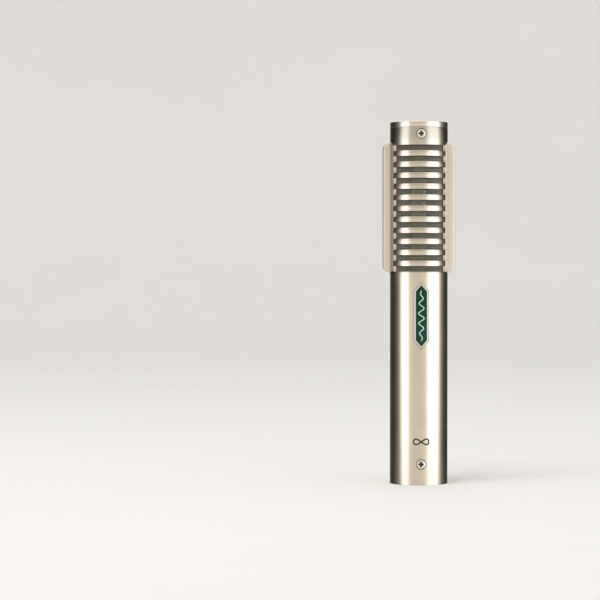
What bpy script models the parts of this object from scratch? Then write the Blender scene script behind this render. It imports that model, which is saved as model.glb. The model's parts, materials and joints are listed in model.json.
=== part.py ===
"""Side-address ribbon microphone, modelled as the separate pieces that it comes apart into.

Frame: metres, +Z up along the tube, origin at the centre of the base rim. The badge and the front slots
face -Y, and the two flux-frame wings stand out along -X and +X.
"""

import math

import bmesh
import bpy
from mathutils import Vector

MM = 0.001
GAP = 0.3 * MM  # clearance kept between pieces that touch
SIDES = 48  # facets of the tube and the cap
INNER_SIDES = 32  # facets of the round pieces inside
SMALL_SIDES = 16  # facets of pins, rods and screws

# Tube and cap
TUBE_RADIUS = 12.7 * MM
TUBE_BORE = 11.2 * MM
TOTAL_HEIGHT = 158.0 * MM
SEAM_HEIGHT = 155.5 * MM
RIM_CHAMFER = 0.3 * MM
SPIGOT_RADIUS = TUBE_BORE - GAP
SPIGOT_BOTTOM = 150.6 * MM
SPIGOT_BORE = 8.5 * MM

# Cross slots through the front and the back of the tube
SLOT_COUNT = 12
SLOT_PITCH = 4.778 * MM
SLOT_HEIGHT = 2.38 * MM
SLOT_FIRST = 93.94 * MM  # height of the lowest slot's middle
SLOT_END = 4.7 * MM  # distance from the axis at which the cut stops

# Wings of the flux frame
WING_REACH = 15.8 * MM
WING_INNER = 9.8 * MM
WING_BOTTOM = 92.2 * MM
WING_TOP = 149.5 * MM
WING_THICKNESS = 5.0 * MM
WING_CORNER = 3.5 * MM

# Countersunk screws that hold the cap and the connector
SCREW_HEAD = 2.0 * MM
SCREW_SHANK = 1.1 * MM
SCREW_FACE = 12.5 * MM  # distance of the head's face from the axis
SCREW_CONE = 1.1 * MM  # depth of the head
SCREW_TIP = 8.6 * MM
CAP_SCREW_HEIGHT = 152.5 * MM
BASE_SCREW_HEIGHT = 9.2 * MM

# Badge, a long upright hexagon
BADGE_BOTTOM = 59.3 * MM
BADGE_TOP = 87.9 * MM
BADGE_WIDTH = 6.1 * MM
BADGE_POINT = 1.15  # height of each point, as a share of half the width
BADGE_RIM = 0.65 * MM
BADGE_SPACE = 0.15 * MM  # between the rim and the enamel
BADGE_FRONT = 13.0 * MM
BADGE_BACK = 12.3 * MM
BADGE_FLOOR = 12.6 * MM
ENAMEL_BACK = 12.75 * MM
ENAMEL_FRONT = 12.95 * MM
POCKET_FLOOR = 12.1 * MM

# Woven screens
SCREEN_RADIUS = 10.75 * MM
SCREEN_THICKNESS = 0.3 * MM
SCREEN_HALF_ANGLE = math.radians(72)
SCREEN_BOTTOM = 92.2 * MM
SCREEN_TOP = 150.3 * MM

# Ribbon motor, laid out from its middle height
MOTOR_HEIGHT = 121.15 * MM
MOTOR_DEPTH = 3.0 * MM  # half of the magnets' and bars' depth
BAR_NEAR = 25.4 * MM
BAR_FAR = 28.7 * MM
BLOCK_NEAR = 20.5 * MM
BLOCK_FAR = 25.1 * MM
BLOCK_HALF_WIDTH = 4.4 * MM
POLE_HALF_LENGTH = 20.2 * MM
POLE_INNER = 2.75 * MM
POLE_OUTER = 4.6 * MM
POLE_TIP = 1.2 * MM
MAGNET_INNER = 4.9 * MM
MAGNET_OUTER = 9.5 * MM
CLAMP_FACE = 0.35 * MM
CLAMP_FRONT = 1.75 * MM
BLOCK_BACK = 3.4 * MM
CLAMP_SCREW_X = 3.4 * MM
CLAMP_SCREW_SHANK = 0.5 * MM
CLAMP_SCREW_HEAD = 0.9 * MM
CLAMP_SCREW_DEPTH = 2.4 * MM  # how far it reaches past the ribbon's plane
DOWEL_RADIUS = 0.7 * MM
DOWEL_HALF_LENGTH = 2.4 * MM

# Ribbon
RIBBON_WIDTH = 4.4 * MM
RIBBON_HALF_LENGTH = 24.5 * MM
RIBBON_FOIL = 0.1 * MM
RIBBON_WAVE = 0.2 * MM
RIBBON_WAVES = 16

# Chassis
ROD_X = 9.4 * MM
ROD_RADIUS = 0.9 * MM
CARRIER_BOTTOM = 86.0 * MM
CARRIER_TOP = 90.6 * MM
ROD_FOOT = 5.0 * MM  # depth of the rods' holes in the connector's housing
ROD_SEAT = 4.2 * MM  # depth of their holes in the carrier
RING_TOP = 91.9 * MM
RING_BORE = 7.5 * MM
CARRIER_SCREW_X = 6.0 * MM
CARRIER_SCREW_SHANK = 0.8 * MM
CARRIER_SCREW_HEAD = 1.6 * MM
CARRIER_SCREW_TIP = 94.6 * MM
LEAD_HOLE_Y = 6.2 * MM
LEAD_RADIUS = 0.22 * MM
CAN_RADIUS = 8.1 * MM
CAN_WALL = 0.6 * MM
CAN_HOLE = 2.0 * MM  # hole in its floor for the output leads
CAN_BOTTOM = 30.3 * MM
CAN_TOP = 58.3 * MM
CORE_BOTTOM = 33.5 * MM
CORE_TOP = 52.5 * MM
CORE_HALF_WIDTH = 6.3 * MM
CORE_HALF_DEPTH = 3.2 * MM
CORE_LIMB = 1.5 * MM  # half width of the middle limb
CORE_WINDOW = 4.7 * MM  # outer side of the two windows
CORE_YOKE = 2.8 * MM  # height of the iron above and below the windows
COIL_HALF_WIDTH = 4.4 * MM
COIL_HALF_DEPTH = 5.8 * MM
FLANGE = 0.5 * MM
LID_THICKNESS = 0.8 * MM
PAD_THICKNESS = 1.6 * MM
LID_HOLE_Y = 5.5 * MM

# Three-pin connector in the base
HOUSING_BOTTOM = 0.6 * MM
HOUSING_TOP = 26.0 * MM
SOCKET_RADIUS = 8.2 * MM
SHOULDER_HEIGHT = 20.3 * MM
SHOULDER_BORE = 6.5 * MM
INSULATOR_RADIUS = 7.9 * MM
INSULATOR_BOTTOM = 15.8 * MM
PIN_RADIUS = 1.22 * MM
PIN_CIRCLE = 3.95 * MM
PIN_TIP = 2.6 * MM
PIN_END = 24.5 * MM
CUP_RADIUS = 0.8 * MM
CUP_FLOOR = 21.5 * MM
KEYWAY_HALF_WIDTH = 1.7 * MM
KEYWAY_FLOOR = 9.6 * MM
KEYWAY_TOP = 6.5 * MM
LUG_Y = -8.6 * MM
LUG_RADIUS = 1.9 * MM
LUG_THICKNESS = 0.4 * MM
LUG_EYE = 0.9 * MM
LUG_SCREW_DEPTH = 2.5 * MM
WIRE_RADIUS = 0.35 * MM


# ---- Scene, materials and shape makers ----


def clear_scene():
    """Remove every object that the file opened with."""
    for old in list(bpy.data.objects):
        bpy.data.objects.remove(old, do_unlink=True)


def make_collection(name):
    """A collection directly under the scene."""
    made = bpy.data.collections.new(name)
    bpy.context.scene.collection.children.link(made)
    return made


def make_material(name, colour, metallic, roughness):
    """A plain Principled material."""
    made = bpy.data.materials.new(name)
    made.use_nodes = True
    shader = made.node_tree.nodes["Principled BSDF"]
    shader.inputs["Base Color"].default_value = (*colour, 1.0)
    shader.inputs["Metallic"].default_value = metallic
    shader.inputs["Roughness"].default_value = roughness
    made.diffuse_color = (*colour, 1.0)
    return made


def add_part(name, data, look=None, location=(0, 0, 0), rotation=(0, 0, 0)):
    """An object for a piece of the microphone, or a hidden cutter where it has no look."""
    made = bpy.data.objects.new(name, data)
    made.location = location
    made.rotation_euler = rotation
    if look is None:
        cutters.objects.link(made)
        made.hide_render = True
        made.display_type = "WIRE"
    else:
        parts.objects.link(made)
        data.materials.append(look)
    return made


def mesh_from(name, build):
    """A mesh filled by build, smooth except along its sharp edges."""
    work = bmesh.new()
    build(work)
    mesh = bpy.data.meshes.new(name)
    work.to_mesh(mesh)
    work.free()
    mesh.shade_smooth()
    mesh.set_sharp_from_angle(angle=math.radians(35))
    return mesh


def evaluated_mesh(made):
    """The object's mesh with its modifiers or its curve turned into faces."""
    mesh = bpy.data.meshes.new_from_object(made.evaluated_get(bpy.context.evaluated_depsgraph_get()))
    work = bmesh.new()
    work.from_mesh(mesh)
    bmesh.ops.remove_doubles(work, verts=work.verts, dist=0.000001)
    work.to_mesh(mesh)
    work.free()
    mesh.shade_smooth()
    mesh.set_sharp_from_angle(angle=math.radians(35))
    return mesh


def box(name, low, high, look=None):
    """A box between two corners."""
    size = Vector(high) - Vector(low)

    def build(work):
        bmesh.ops.create_cube(work, size=1.0)
        bmesh.ops.scale(work, vec=size, verts=work.verts)

    return add_part(name, mesh_from(name, build), look, (Vector(low) + Vector(high)) / 2)


def rod(name, radius, start, length, look=None, axis="Z", sides=SMALL_SIDES):
    """A cylinder of this length from the point start along +X, +Y or +Z."""
    turn = {"X": (0, math.pi / 2, 0), "Y": (-math.pi / 2, 0, 0), "Z": (0, 0, 0)}[axis]
    along = Vector([float(axis == letter) for letter in "XYZ"])

    def build(work):
        bmesh.ops.create_cone(
            work, cap_ends=True, segments=sides, radius1=radius, radius2=radius, depth=length
        )

    return add_part(name, mesh_from(name, build), look, Vector(start) + along * length / 2, turn)


def turned(name, profile, look=None, ring=False, sides=SIDES, location=(0, 0, 0), rotation=(0, 0, 0)):
    """A turned piece. The profile's (radius, height) points run down its outer side, and a ring closes."""
    mesh = bpy.data.meshes.new(name)
    edges = [(i, i + 1) for i in range(len(profile) - 1)]
    if ring:
        edges.append((len(profile) - 1, 0))
    mesh.from_pydata([(radius, 0, height) for radius, height in profile], edges, [])
    made = add_part(name, mesh, look, location, rotation)
    spin = made.modifiers.new("turn", "SCREW")
    spin.steps = sides
    spin.render_steps = sides
    spin.use_merge_vertices = True
    spin.merge_threshold = 0.000001
    bpy.context.view_layer.update()
    made.data = evaluated_mesh(made)
    made.modifiers.clear()
    return made


def plate(name, outline, thickness, look=None, location=(0, 0, 0), rotation=(0, 0, 0)):
    """A flat plate with this outline in its own XY plane, centred on its thickness."""
    curve = bpy.data.curves.new(name, "CURVE")
    curve.dimensions = "2D"
    curve.fill_mode = "BOTH"
    curve.extrude = thickness / 2
    spline = curve.splines.new("POLY")
    spline.points.add(len(outline) - 1)
    for point, place in zip(spline.points, outline):
        point.co = (place[0], place[1], 0, 1)
    spline.use_cyclic_u = True
    drawn = bpy.data.objects.new(name + "_outline", curve)
    cutters.objects.link(drawn)
    bpy.context.view_layer.update()
    mesh = evaluated_mesh(drawn)
    bpy.data.objects.remove(drawn, do_unlink=True)
    return add_part(name, mesh, look, location, rotation)


def smooth_route(points, steps):
    """Points of a Catmull-Rom curve through the given ones."""
    knots = [Vector(point) for point in points]
    knots = [2 * knots[0] - knots[1], *knots, 2 * knots[-1] - knots[-2]]
    route = []
    for before, start, end, after in zip(knots, knots[1:], knots[2:], knots[3:]):
        for step in range(steps):
            t = step / steps
            route.append(
                0.5
                * (
                    2 * start
                    + (end - before) * t
                    + (2 * before - 5 * start + 4 * end - after) * t**2
                    + (3 * start - before - 3 * end + after) * t**3
                )
            )
    route.append(knots[-2])
    return route


def wire(name, points, radius, look, steps=2):
    """A round wire along a smooth curve through points given in millimetres."""
    curve = bpy.data.curves.new(name, "CURVE")
    curve.dimensions = "3D"
    curve.bevel_depth = radius
    curve.bevel_resolution = 2
    curve.use_fill_caps = True
    spline = curve.splines.new("POLY")
    route = smooth_route([Vector(point) * MM for point in points], steps)
    spline.points.add(len(route) - 1)
    for point, place in zip(spline.points, route):
        point.co = (*place, 1)
    return add_part(name, curve, look)


def cut(made, *tools):
    """Cut each tool out of the piece."""
    for tool in tools:
        change = made.modifiers.new("cut_" + tool.name, "BOOLEAN")
        change.operation = "DIFFERENCE"
        change.solver = "EXACT"
        change.object = tool
    return made


def join(made, *tools):
    """Join each tool to the piece."""
    for tool in tools:
        change = made.modifiers.new("join_" + tool.name, "BOOLEAN")
        change.operation = "UNION"
        change.solver = "EXACT"
        change.object = tool
    return made


# ---- Outside ----

FACING = {"front": (math.pi / 2, 0, 0), "rear": (-math.pi / 2, 0, 0)}  # turns +Z to -Y or to +Y


def screw_hole(name, height, side):
    """The cutter of one countersunk hole, through the tube's wall and what lies behind it."""
    profile = [
        (0, TUBE_RADIUS + MM),
        (SCREW_HEAD + GAP, TUBE_RADIUS + MM),
        (SCREW_HEAD + GAP, SCREW_FACE),
        (SCREW_SHANK + GAP, SCREW_FACE - SCREW_CONE),
        (SCREW_SHANK + GAP, SPIGOT_BORE - 1.5 * MM),
        (0, SPIGOT_BORE - 1.5 * MM),
    ]
    return turned(name, profile, sides=SMALL_SIDES, location=(0, 0, height), rotation=FACING[side])


def countersunk_screw(name, height, side):
    """A countersunk screw with a cross recess, its face almost flush with the tube."""
    profile = [
        (0, SCREW_FACE),
        (SCREW_HEAD, SCREW_FACE),
        (SCREW_SHANK, SCREW_FACE - SCREW_CONE),
        (SCREW_SHANK, SCREW_TIP),
        (0, SCREW_TIP),
    ]
    made = turned(
        name, profile, steel, sides=SMALL_SIDES, location=(0, 0, height), rotation=FACING[side]
    )
    reach, half, depth = 1.05 * MM, 0.28 * MM, 0.75 * MM
    towards = -1 if side == "front" else 1
    near = towards * (SCREW_FACE - depth)
    far = towards * (SCREW_FACE + MM)
    low, high = min(near, far), max(near, far)
    across = box(name + "_cross_x", (-reach, low, height - half), (reach, high, height + half))
    upright = box(name + "_cross_z", (-half, low, height - reach), (half, high, height + reach))
    return cut(made, across, upright)


def slot_cutter(name, towards):
    """Twelve boxes in a row that cut the cross slots on one side of the tube."""
    near, far = towards * SLOT_END, towards * (TUBE_RADIUS + 2 * MM)
    reach = TUBE_RADIUS + MM
    made = box(
        name,
        (-reach, min(near, far), SLOT_FIRST - SLOT_HEIGHT / 2),
        (reach, max(near, far), SLOT_FIRST + SLOT_HEIGHT / 2),
    )
    repeat = made.modifiers.new("repeat", "ARRAY")
    repeat.count = SLOT_COUNT
    repeat.use_relative_offset = False
    repeat.use_constant_offset = True
    repeat.constant_offset_displace = (0, 0, SLOT_PITCH)
    return made


def wing_window(name, side):
    """The cutter of the window that a wing passes through."""
    near, far = side * (WING_INNER - MM), side * (TUBE_RADIUS + MM)
    half = WING_THICKNESS / 2 + GAP
    return box(
        name,
        (min(near, far), -half, WING_BOTTOM - GAP),
        (max(near, far), half, WING_TOP + GAP),
    )


def badge_outline(inset):
    """The badge's hexagon, inset from its edge all round."""
    half = BADGE_WIDTH / 2 - inset
    tip = (BADGE_TOP - BADGE_BOTTOM) / 2 - inset * math.hypot(1, BADGE_POINT)
    shoulder = tip - BADGE_POINT * half
    return [(0, -tip), (half, -shoulder), (half, shoulder), (0, tip), (-half, shoulder), (-half, -shoulder)]


def badge_slab(name, inset, back, front, look=None):
    """A hexagonal slab of the badge, inset from its outline, between two distances from the axis."""
    place = (0, -(back + front) / 2, (BADGE_BOTTOM + BADGE_TOP) / 2)
    return plate(name, badge_outline(inset), front - back, look, place, FACING["front"])


def make_badge():
    """The badge's metal plate with a sunk field, and the enamel that fills it."""
    metal = badge_slab("badge_plate", 0, BADGE_BACK, BADGE_FRONT, bright)
    cut(metal, badge_slab("badge_field", BADGE_RIM, BADGE_FLOOR, BADGE_FRONT + MM))
    badge_slab("badge_enamel", BADGE_RIM + BADGE_SPACE, ENAMEL_BACK, ENAMEL_FRONT, enamel)


def make_tube():
    """The one-piece tube with its slots, windows, screw holes and badge pocket."""
    top = SEAM_HEIGHT - GAP / 2
    profile = [
        (TUBE_RADIUS, top),
        (TUBE_RADIUS, RIM_CHAMFER),
        (TUBE_RADIUS - RIM_CHAMFER, 0),
        (TUBE_BORE, 0),
        (TUBE_BORE, top),
    ]
    tube = turned("body_tube", profile, nickel, ring=True)
    cut(tube, slot_cutter("front_slots", -1), slot_cutter("rear_slots", 1))
    cut(tube, wing_window("left_window", -1), wing_window("right_window", 1))
    cut(tube, *holes.values())
    cut(tube, badge_slab("badge_pocket", -GAP, POCKET_FLOOR, TUBE_RADIUS + MM))


def make_cap():
    """The end cap: a flat disc with a hollow spigot that the cap screws bite into."""
    profile = [
        (0, TOTAL_HEIGHT),
        (TUBE_RADIUS - RIM_CHAMFER, TOTAL_HEIGHT),
        (TUBE_RADIUS, TOTAL_HEIGHT - RIM_CHAMFER),
        (TUBE_RADIUS, SEAM_HEIGHT + GAP / 2),
        (SPIGOT_RADIUS, SEAM_HEIGHT + GAP / 2),
        (SPIGOT_RADIUS, SPIGOT_BOTTOM),
        (SPIGOT_BORE, SPIGOT_BOTTOM),
        (SPIGOT_BORE, SEAM_HEIGHT),
        (0, SEAM_HEIGHT),
    ]
    cap = turned("top_cap", profile, nickel)
    cut(cap, holes["cap", "front"], holes["cap", "rear"])


def wing_outline(side):
    """A wing seen from the front: square inside the tube, rounded at its two outer corners."""
    outline = [(side * WING_INNER, WING_TOP), (side * WING_INNER, WING_BOTTOM)]
    centre_x = WING_REACH - WING_CORNER
    for centre_z, first in ((WING_BOTTOM + WING_CORNER, -90), (WING_TOP - WING_CORNER, 0)):
        for step in range(7):
            angle = math.radians(first + 15 * step)
            outline.append(
                (
                    side * (centre_x + WING_CORNER * math.cos(angle)),
                    centre_z + WING_CORNER * math.sin(angle),
                )
            )
    return outline


def make_wings():
    """The two side plates of the flux frame, drilled for the dowels that hold the bars."""
    for name, side in (("left", -1), ("right", 1)):
        wing = plate(
            "wing_" + name, wing_outline(side), WING_THICKNESS, nickel, rotation=(math.pi / 2, 0, 0)
        )
        cut(wing, dowel_holes["top", name], dowel_holes["bottom", name])


def make_screens():
    """The two woven screens, as thin curved sheets just inside the slots."""
    for name, towards in (("front", -90), ("rear", 90)):
        mesh = bpy.data.meshes.new("screen_" + name)
        mesh.from_pydata([(SCREEN_RADIUS, 0, SCREEN_TOP), (SCREEN_RADIUS, 0, SCREEN_BOTTOM)], [(0, 1)], [])
        turn = math.radians(towards) - SCREEN_HALF_ANGLE
        screen = add_part("screen_" + name, mesh, mesh_grey, rotation=(0, 0, turn))
        sweep = screen.modifiers.new("sweep", "SCREW")
        sweep.angle = 2 * SCREEN_HALF_ANGLE
        sweep.steps = 26
        sweep.render_steps = 26
        sheet = screen.modifiers.new("sheet", "SOLIDIFY")
        sheet.thickness = SCREEN_THICKNESS
        sheet.offset = 0


# ---- Ribbon motor ----


def ends():
    """The name and the direction of the motor's two ends."""
    return (("top", 1), ("bottom", -1))


def span(end, near, far):
    """Two heights, lowest first, at these distances from the motor's middle towards one end."""
    heights = (MOTOR_HEIGHT + end * near, MOTOR_HEIGHT + end * far)
    return min(heights), max(heights)


def dowel(name, end, side, radius, reach, look=None):
    """A dowel across the joint of a wing and a bar, or the hole for it."""
    middle = MOTOR_HEIGHT + end * (BAR_NEAR + BAR_FAR) / 2
    joint = side * (MAGNET_OUTER + WING_INNER) / 2
    return rod(name, radius, (joint - reach, 0, middle), 2 * reach, look, axis="X", sides=12)


def make_magnets_and_poles():
    """A bar magnet and a tapered soft-iron pole on each side of the ribbon."""
    for name, side in (("left", -1), ("right", 1)):
        low, high = span(1, -BLOCK_FAR, BLOCK_FAR)
        near, far = side * MAGNET_INNER, side * MAGNET_OUTER
        box(
            "magnet_" + name,
            (min(near, far), -MOTOR_DEPTH, low),
            (max(near, far), MOTOR_DEPTH, high),
            magnet,
        )
        outline = [
            (side * POLE_INNER, -POLE_TIP),
            (side * POLE_OUTER, -MOTOR_DEPTH),
            (side * POLE_OUTER, MOTOR_DEPTH),
            (side * POLE_INNER, POLE_TIP),
        ]
        plate("pole_" + name, outline, 2 * POLE_HALF_LENGTH, iron, (0, 0, MOTOR_HEIGHT))


def clamp_screw(name, end, side, hole=False):
    """A small screw through a clamp bar into its block, or the hole for it."""
    height = MOTOR_HEIGHT + end * (BLOCK_NEAR + BLOCK_FAR) / 2
    under_head = CLAMP_FRONT + GAP
    face = under_head + CLAMP_SCREW_HEAD
    profile = [
        (0, face),
        (CLAMP_SCREW_HEAD, face),
        (CLAMP_SCREW_HEAD, under_head),
        (CLAMP_SCREW_SHANK, under_head),
        (CLAMP_SCREW_SHANK, -CLAMP_SCREW_DEPTH),
        (0, -CLAMP_SCREW_DEPTH),
    ]
    if hole:
        wall, floor = CLAMP_SCREW_SHANK + GAP, -CLAMP_SCREW_DEPTH - GAP
        profile = [(0, face), (wall, face), (wall, floor), (0, floor)]
    place = (side * CLAMP_SCREW_X, 0, height)
    look = None if hole else brass
    return turned(name, profile, look, sides=12, location=place, rotation=FACING["front"])


def make_clamps():
    """At each end, a frame bar with its dowels, an insulating block, a clamp bar and two screws."""
    for name, end in ends():
        low, high = span(end, BAR_NEAR, BAR_FAR)
        bar = box(
            "frame_bar_" + name, (-MAGNET_OUTER, -MOTOR_DEPTH, low), (MAGNET_OUTER, MOTOR_DEPTH, high), iron
        )
        cut(bar, dowel_holes[name, "left"], dowel_holes[name, "right"])
        if name == "bottom":
            cut(bar, *carrier_screw_holes)
        for hand, side in (("left", -1), ("right", 1)):
            dowel(f"frame_dowel_{name}_{hand}", end, side, DOWEL_RADIUS, DOWEL_HALF_LENGTH, steel)
        low, high = span(end, BLOCK_NEAR, BLOCK_FAR)
        block = box(
            "ribbon_block_" + name,
            (-BLOCK_HALF_WIDTH, CLAMP_FACE, low),
            (BLOCK_HALF_WIDTH, BLOCK_BACK, high),
            phenolic,
        )
        low, high = span(end, BLOCK_NEAR + 0.6 * MM, BLOCK_FAR - 0.6 * MM)
        clamp = box(
            "ribbon_clamp_" + name,
            (-BLOCK_HALF_WIDTH, -CLAMP_FRONT, low),
            (BLOCK_HALF_WIDTH, -CLAMP_FACE, high),
            brass,
        )
        for hand, side in (("left", -1), ("right", 1)):
            hole = clamp_screw(f"clamp_hole_{name}_{hand}", end, side, hole=True)
            cut(block, hole)
            cut(clamp, hole)
            clamp_screw(f"clamp_screw_{name}_{hand}", end, side)


def make_ribbon():
    """The corrugated foil, flat at its two clamped ends."""
    free = BLOCK_NEAR - 0.5 * MM
    heights = [-RIBBON_HALF_LENGTH]
    depths = [0.0]
    for fold in range(2 * RIBBON_WAVES + 1):
        heights.append(-free + 2 * free * fold / (2 * RIBBON_WAVES))
        inside = 0 < fold < 2 * RIBBON_WAVES
        depths.append(RIBBON_WAVE * (-1) ** fold if inside else 0.0)
    heights.append(RIBBON_HALF_LENGTH)
    depths.append(0.0)

    def build(work):
        line = [work.verts.new((-RIBBON_WIDTH / 2, y, z)) for y, z in zip(depths, heights)]
        edges = [work.edges.new(pair) for pair in zip(line, line[1:])]
        swept = bmesh.ops.extrude_edge_only(work, edges=edges)
        moved = [part for part in swept["geom"] if isinstance(part, bmesh.types.BMVert)]
        bmesh.ops.translate(work, verts=moved, vec=(RIBBON_WIDTH, 0, 0))

    ribbon = add_part("ribbon", mesh_from("ribbon", build), foil, (0, 0, MOTOR_HEIGHT))
    sheet = ribbon.modifiers.new("foil", "SOLIDIFY")
    sheet.thickness = RIBBON_FOIL
    sheet.offset = 0


def make_ribbon_leads():
    """The fine wires from the ribbon's two clamps down to the transformer."""
    shared = [(0.7, 6.2, 90), (0.7, 6.2, 82), (0.7, 6.1, 70), (0.7, 5.5, 60), (0.7, 5.5, 54)]
    upper = [(2.0, 4.0, 144), (5.0, 4.3, 142), (7.0, 4.4, 136), (7.0, 4.4, 104), (4.0, 5.2, 96), *shared]
    lower = [(2.0, 4.0, 98.5), (1.6, 4.6, 95), *shared]
    wire("ribbon_lead_top", upper, LEAD_RADIUS, red_wire)
    wire("ribbon_lead_bottom", [(-x, y, z) for x, y, z in lower], LEAD_RADIUS, blue_wire)


# ---- Chassis and transformer ----


def make_carrier():
    """The disc that carries the motor, with its screws, its damping ring and the two chassis rods."""
    profile = [
        (0, CARRIER_TOP),
        (SPIGOT_RADIUS, CARRIER_TOP),
        (SPIGOT_RADIUS, CARRIER_BOTTOM),
        (0, CARRIER_BOTTOM),
    ]
    carrier = turned("motor_carrier", profile, aluminium, sides=INNER_SIDES)
    cut(carrier, *carrier_screw_holes)
    cut(carrier, rod("carrier_lead_hole", 1.6 * MM, (0, LEAD_HOLE_Y, CARRIER_BOTTOM - MM), 7 * MM))
    ring = [
        (SPIGOT_RADIUS - 0.2 * MM, RING_TOP),
        (SPIGOT_RADIUS - 0.2 * MM, CARRIER_TOP + GAP),
        (RING_BORE, CARRIER_TOP + GAP),
        (RING_BORE, RING_TOP),
    ]
    turned("damping_ring", ring, rubber, ring=True, sides=INNER_SIDES)
    for name, side in (("left", -1), ("right", 1)):
        x = side * ROD_X
        hole = rod("rod_hole_" + name, ROD_RADIUS + GAP, (x, 0, CARRIER_BOTTOM - MM), ROD_SEAT + MM)
        cut(carrier, hole)
        foot = HOUSING_TOP - ROD_FOOT + GAP
        head = CARRIER_BOTTOM + ROD_SEAT - GAP
        rod("chassis_rod_" + name, ROD_RADIUS, (x, 0, foot), head - foot, steel)
        under_head = CARRIER_BOTTOM - GAP
        face = under_head - CARRIER_SCREW_HEAD
        profile = [
            (0, CARRIER_SCREW_TIP),
            (CARRIER_SCREW_SHANK, CARRIER_SCREW_TIP),
            (CARRIER_SCREW_SHANK, under_head),
            (CARRIER_SCREW_HEAD, under_head),
            (CARRIER_SCREW_HEAD, face),
            (0, face),
        ]
        turned("carrier_screw_" + name, profile, steel, sides=12, location=(side * CARRIER_SCREW_X, 0, 0))


def centred_box(name, half_x, half_y, low, high, look=None):
    """A box centred on the axis, given by its half widths and its two heights."""
    return box(name, (-half_x, -half_y, low), (half_x, half_y, high), look)


def make_transformer():
    """The step-up transformer: laminated core, bobbin, winding, shield can, lid and foam pad."""
    core = centred_box("transformer_core", CORE_HALF_WIDTH, CORE_HALF_DEPTH, CORE_BOTTOM, CORE_TOP, iron)
    low, high = CORE_BOTTOM + CORE_YOKE, CORE_TOP - CORE_YOKE
    for name, side in (("left", -1), ("right", 1)):
        near, far = side * CORE_LIMB, side * CORE_WINDOW
        window = box(
            "core_window_" + name,
            (min(near, far), -CORE_HALF_DEPTH - MM, low),
            (max(near, far), CORE_HALF_DEPTH + MM, high),
        )
        cut(core, window)
    bore_x, bore_y = CORE_LIMB + GAP, CORE_HALF_DEPTH + GAP
    low, high = low + GAP, high - GAP
    bobbin = centred_box("transformer_bobbin", bore_x + FLANGE, bore_y + FLANGE, low, high, phenolic)
    for name, bottom in (("lower", low), ("upper", high - FLANGE)):
        top = bottom + FLANGE
        join(bobbin, centred_box(name + "_flange", COIL_HALF_WIDTH, COIL_HALF_DEPTH, bottom, top))
    cut(bobbin, centred_box("bobbin_bore", bore_x, bore_y, low - MM, high + MM))
    low, high = low + FLANGE + GAP, high - FLANGE - GAP
    bore_x, bore_y = bore_x + FLANGE + GAP, bore_y + FLANGE + GAP
    winding = centred_box(
        "transformer_winding", COIL_HALF_WIDTH - GAP / 3, COIL_HALF_DEPTH - GAP / 3, low, high, copper
    )
    cut(winding, centred_box("winding_bore", bore_x, bore_y, low - MM, high + MM))
    can = [
        (CAN_RADIUS, CAN_TOP),
        (CAN_RADIUS, CAN_BOTTOM),
        (CAN_HOLE, CAN_BOTTOM),
        (CAN_HOLE, CAN_BOTTOM + CAN_WALL),
        (CAN_RADIUS - CAN_WALL, CAN_BOTTOM + CAN_WALL),
        (CAN_RADIUS - CAN_WALL, CAN_TOP),
    ]
    turned("transformer_can", can, shield, ring=True, sides=INNER_SIDES)
    plug = CAN_RADIUS - CAN_WALL - GAP
    seat = CAN_TOP + GAP
    lid = [
        (0, seat + LID_THICKNESS),
        (CAN_RADIUS, seat + LID_THICKNESS),
        (CAN_RADIUS, seat),
        (plug, seat),
        (plug, seat - 1.5 * LID_THICKNESS),
        (0, seat - 1.5 * LID_THICKNESS),
    ]
    cover = turned("transformer_lid", lid, shield, sides=INNER_SIDES)
    cut(cover, rod("lid_hole", 1.5 * MM, (0, LID_HOLE_Y, CAN_TOP - 3 * MM), 6 * MM))
    pad_top = CAN_BOTTOM - GAP
    pad = [
        (CAN_RADIUS - 0.5 * MM, pad_top),
        (CAN_RADIUS - 0.5 * MM, pad_top - PAD_THICKNESS),
        (CAN_HOLE + MM, pad_top - PAD_THICKNESS),
        (CAN_HOLE + MM, pad_top),
    ]
    turned("transformer_pad", pad, rubber, ring=True, sides=INNER_SIDES)


# ---- Connector ----


def pin_places():
    """The three pins and their places about the axis, with the keyway on the +Y side."""
    return (("1", (-PIN_CIRCLE, 0)), ("2", (PIN_CIRCLE, 0)), ("3", (0, -PIN_CIRCLE)))


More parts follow.
